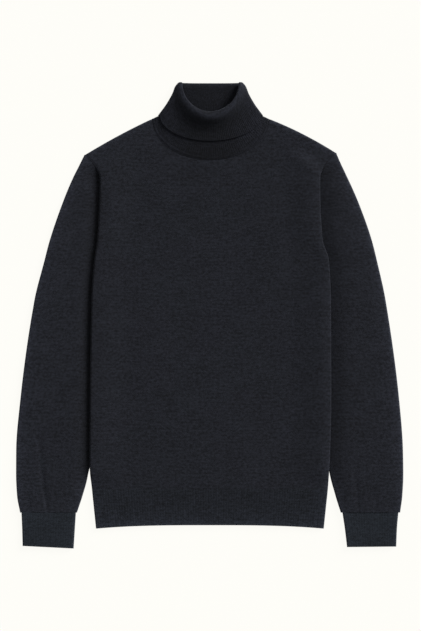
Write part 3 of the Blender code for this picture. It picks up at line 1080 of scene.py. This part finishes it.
def mixed(tree: bpy.types.NodeTree, share: object, low: object, high: object) -> bpy.types.NodeSocket:
    """Adds a colour Mix node and returns its output."""
    node = tree.nodes.new("ShaderNodeMix")
    node.data_type = "RGBA"
    feed(tree, node.inputs[0], share)
    feed(tree, node.inputs[6], low)
    feed(tree, node.inputs[7], high)
    return node.outputs[2]


def noise(tree: bpy.types.NodeTree, place: object, detail: float, roughness: float) -> bpy.types.NodeSocket:
    """Adds a noise texture at scale 1 and returns its factor."""
    node = tree.nodes.new("ShaderNodeTexNoise")
    feed_all(tree, node, {"Vector": place, "Scale": 1.0, "Detail": detail, "Roughness": roughness})
    return node.outputs[0]


def stretched(tree: bpy.types.NodeTree, place: object, wide: object, tall: object) -> bpy.types.NodeSocket:
    """Scales the knit's coordinates so that one unit is wide across the wales and tall along them."""
    parts = tree.nodes.new("ShaderNodeSeparateXYZ")
    feed(tree, parts.inputs[0], place)
    joined = tree.nodes.new("ShaderNodeCombineXYZ")
    feed(tree, joined.inputs[0], math(tree, "DIVIDE", parts.outputs[0], wide))
    feed(tree, joined.inputs[1], math(tree, "DIVIDE", parts.outputs[1], tall))
    return joined.outputs[0]


def stitch_group() -> bpy.types.NodeTree:
    """Builds the plain knit's stitches.

    Across a wale, two legs lean towards its middle. Each leg is a bulge across itself, and a cosine along the
    wale, put later the further it is from the middle, parts one stitch from the next. Height is their
    product, from 0 in the gaps to 1 on the yarn.

    Returns:
        The group: Knit, Wale and Course in, and Height out.
    """
    tree, given, made = new_group(
        "knit_stitches",
        {"Knit": "NodeSocketVector", "Wale": "NodeSocketFloat", "Course": "NodeSocketFloat"},
        {"Height": "NodeSocketFloat"},
    )
    parts = tree.nodes.new("ShaderNodeSeparateXYZ")
    feed(tree, parts.inputs[0], given.outputs["Knit"])
    across = math(tree, "FRACT", math(tree, "DIVIDE", parts.outputs[0], given.outputs["Wale"]))
    along = math(tree, "DIVIDE", parts.outputs[1], given.outputs["Course"])
    aside = math(tree, "ABSOLUTE", math(tree, "SUBTRACT", across, 0.5))
    leg = math(tree, "SINE", math(tree, "MULTIPLY", aside, 2 * np.pi))
    lean = math(tree, "MULTIPLY", aside, 1.3)
    phase = math(tree, "SUBTRACT", along, lean)
    parted = math(tree, "COSINE", math(tree, "MULTIPLY", phase, 2 * np.pi))
    parted = math(tree, "MULTIPLY_ADD", parted, 0.3, 0.7)
    feed(tree, made.inputs["Height"], math(tree, "MULTIPLY", leg, parted))
    return tree


def melange_group() -> bpy.types.NodeTree:
    """Builds the colour of yarn spun from dark and light fibres.

    The light fibres' share is a sum of four noises about a half: short streaks along the courses, longer
    ones, a finer grain, and slow drifts over the cloth. It is lowered in the gaps between the stitches and
    raised on the yarn, a painted shade and highlight of the stitches, and the colour is scaled by one plus
    the painted light and shade.

    Returns:
        The group: Knit, Dark, Light, Streak, Grain, Height and Rim in, and Color out.
    """
    colours = {name: "NodeSocketColor" for name in ("Dark", "Light")}
    floats = {name: "NodeSocketFloat" for name in ("Streak", "Grain", "Height", "Rim")}
    tree, given, made = new_group(
        "melange_yarn", {"Knit": "NodeSocketVector", **colours, **floats}, {"Color": "NodeSocketColor"}
    )
    streak, grain = given.outputs["Streak"], given.outputs["Grain"]
    noises = (
        (5.0, 3.7, 3.0, 0.6, streak),
        (19.0, 3.4, 2.0, 0.5, math(tree, "MULTIPLY", streak, 0.42)),
        (1.3, 0.7, 1.0, 0.5, grain),
        (55.0, 30.0, 1.0, 0.5, 0.5),
    )
    share = 0.5
    for wide, tall, detail, roughness, strength in noises:
        place = stretched(tree, given.outputs["Knit"], wide * MM, tall * MM)
        about_none = math(tree, "SUBTRACT", noise(tree, place, detail, roughness), 0.5)
        share = math(tree, "MULTIPLY_ADD", about_none, strength, share)
    # Fewer light fibres in the gaps between the stitches and more on the yarn: painted shade and highlight of
    # the stitches.
    share = math(tree, "MULTIPLY", share, math(tree, "MULTIPLY_ADD", given.outputs["Height"], 0.5, 0.7))
    limited = tree.nodes.new("ShaderNodeClamp")
    feed(tree, limited.inputs[0], share)
    yarn = mixed(tree, limited.outputs[0], given.outputs["Dark"], given.outputs["Light"])
    # The yarn is scaled by one plus the painted highlight and shade.
    scale = tree.nodes.new("ShaderNodeVectorMath")
    scale.operation = "SCALE"
    feed(tree, scale.inputs[0], yarn)
    feed(tree, scale.inputs["Scale"], math(tree, "ADD", given.outputs["Rim"], 1.0))
    feed(tree, made.inputs["Color"], scale.outputs[0])
    return tree


@dataclass(frozen=True)
class KnitFinish:
    """The look of one knit: its yarn's fibres, its stitches' size, and the soft nap on it."""

    name: str
    dark: tuple[float, float, float]
    light: tuple[float, float, float]
    wale: float = 1.4
    course: float = 1.05
    streak: float = 2.8
    grain: float = 1.2
    bump: float = 0.5
    bump_depth: float = 0.35
    roughness: float = 0.85
    specular: float = 0.15
    sheen: float = 0.20
    sheen_roughness: float = 0.40
    sheen_tint: tuple[float, float, float] = (0.62, 0.68, 0.85)

    def material(self, stitches: bpy.types.NodeTree, melange: bpy.types.NodeTree) -> bpy.types.Material:
        """Makes the material.

        Args:
            stitches: the stitch group.
            melange: the yarn group.

        Returns:
            The new material.
        """
        material = bpy.data.materials.new(self.name)
        material.use_nodes = True
        tree = material.node_tree
        knit = tree.nodes.new("ShaderNodeUVMap")
        knit.uv_map = "knit"
        # The painted highlight and shade, read from the pieces' point attribute.
        rim = tree.nodes.new("ShaderNodeAttribute")
        rim.attribute_name = "rim"
        sizes = {"Knit": knit.outputs[0], "Wale": self.wale * MM, "Course": self.course * MM}
        height = placed(tree, stitches, sizes)
        yarn = {
            "Knit": knit.outputs[0],
            "Dark": (*self.dark, 1.0),
            "Light": (*self.light, 1.0),
            "Streak": self.streak,
            "Grain": self.grain,
            "Height": height,
            "Rim": rim.outputs["Fac"],
        }
        bump = tree.nodes.new("ShaderNodeBump")
        feed_all(tree, bump, {"Strength": self.bump, "Distance": self.bump_depth * MM, "Height": height})
        looks = {
            "Base Color": placed(tree, melange, yarn),
            "Roughness": self.roughness,
            "Specular IOR Level": self.specular,
            "Sheen Weight": self.sheen,
            "Sheen Roughness": self.sheen_roughness,
            "Sheen Tint": (*self.sheen_tint, 1.0),
            "Normal": bump.outputs[0],
        }
        feed_all(tree, tree.nodes["Principled BSDF"], looks)
        return material


JERSEY_FINISH = KnitFinish("charcoal_jersey", (0.0046, 0.0051, 0.0073), (0.0157, 0.0174, 0.0243))
HEM_FINISH = KnitFinish("charcoal_hem_rib", (0.0037, 0.0044, 0.0061), (0.0124, 0.0144, 0.0200))
CUFF_FINISH = KnitFinish(
    "charcoal_cuff_rib", (0.00552, 0.00696, 0.00936), (0.01800, 0.02256, 0.03024), streak=1.9
)
# A darker copy of the charcoal yarn: painted shade for the collar's slopes and trough, lifted again by the
# painted highlight at the stand, the sides and the crest.
COLLAR_SHADED_FINISH = KnitFinish(
    "charcoal_collar_rib_shaded", (0.0020, 0.0023, 0.0034), (0.0067, 0.0074, 0.0107), sheen=0.12
)


@dataclass
class Studio:
    """The pale floor, the soft light and the camera that looks straight down."""

    lens: float = 180.0
    sensor: float = 36.0
    image_steps: int = 631
    step: float = 1.67
    centre: tuple[float, float] = (0.0, 0.3)
    floor_colour: tuple[float, float, float] = (0.045, 0.0445, 0.0425)
    floor_glow: tuple[float, float, float] = (0.950, 0.941, 0.899)
    floor_reach: float = 6.0
    floor_z: float = -0.0004
    sky: float = 0.38
    key_strength: float = 4.6
    key_turn: float = 40.0
    key_height: float = 23.0
    key_spread: float = 26.0

    def build_floor(self) -> None:
        """Lays a plain pale floor that glows a little, as a lit table does."""
        reach = self.floor_reach
        mesh = bpy.data.meshes.new("floor")
        corners = [(-reach, -reach), (reach, -reach), (reach, reach), (-reach, reach)]
        mesh.from_pydata([(x, y, self.floor_z) for x, y in corners], [], [(0, 1, 2, 3)])
        material = bpy.data.materials.new("studio_floor")
        material.use_nodes = True
        looks = {
            "Base Color": (*self.floor_colour, 1.0),
            "Roughness": 0.9,
            "Specular IOR Level": 0.0,
            "Emission Color": (*self.floor_glow, 1.0),
            "Emission Strength": 1.0,
        }
        feed_all(material.node_tree, material.node_tree.nodes["Principled BSDF"], looks)
        mesh.materials.append(material)
        add_object("floor", mesh)

    def build_light(self) -> None:
        """Lights the scene: an even sky, and one wide soft light, low beyond the collar and to +X."""
        world = bpy.data.worlds.new("studio")
        bpy.context.scene.world = world
        world.use_nodes = True
        sky = {"Color": (1.0, 1.0, 1.0, 1.0), "Strength": self.sky}
        feed_all(world.node_tree, world.node_tree.nodes["Background"], sky)
        data = bpy.data.lights.new("key", "SUN")
        data.energy = self.key_strength
        data.angle = np.radians(self.key_spread)
        key = add_object("key", data)
        key.rotation_euler = (np.radians(90 - self.key_height), 0.0, np.radians(90 + self.key_turn))

    def build_camera(self) -> None:
        """Hangs the camera straight above, so high that one step of the image is step wide on the floor."""
        data = bpy.data.cameras.new("camera")
        data.lens, data.sensor_width, data.clip_end = self.lens, self.sensor, 50.0
        camera = add_object("camera", data)
        height = self.image_steps * self.step * MM / (self.sensor / self.lens)
        camera.location = (self.centre[0] * MM, self.centre[1] * MM, height)
        bpy.context.scene.camera = camera

    def build(self) -> None:
        """Makes the floor, the lights and the camera, and shows colours as they are."""
        self.build_floor()
        self.build_light()
        self.build_camera()
        bpy.context.scene.view_settings.view_transform = "Standard"


def main() -> None:
    """Builds every piece of the sweater and the studio round it."""
    logging.basicConfig(level=logging.INFO, format="%(name)s %(message)s")
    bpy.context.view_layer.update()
    groups = stitch_group(), melange_group()
    finishes = (JERSEY_FINISH, HEM_FINISH, CUFF_FINISH, COLLAR_SHADED_FINISH)
    jersey, hem_rib, cuff_rib, collar_rib = (finish.material(*groups) for finish in finishes)

    plan = Plan()
    Panel(plan, Face.BACK, neck_drop=20.0, creases=BACK_CREASES).build(jersey)
    Panel(plan, Face.FRONT, neck_drop=65.5, creases=FRONT_CREASES).build(jersey)
    for face in Face:
        Hem(plan, face).build(hem_rib)
    Sleeve(
        plan, Side.RIGHT, groove=1.6, slope_run=28.0, full=0.66, shade=0.58, shade_run=17.0, outline=0.42
    ).build(jersey)
    Sleeve(
        plan, Side.LEFT, groove=0.0, slope_run=42.0, full=1.05, shade=0.20, shade_run=30.0, outline=0.20
    ).build(jersey)
    for side in Side:
        Cuff(plan, side).build(cuff_rib)
    Collar(plan).build(collar_rib)
    Studio().build()


if __name__ == "__main__":
    main()
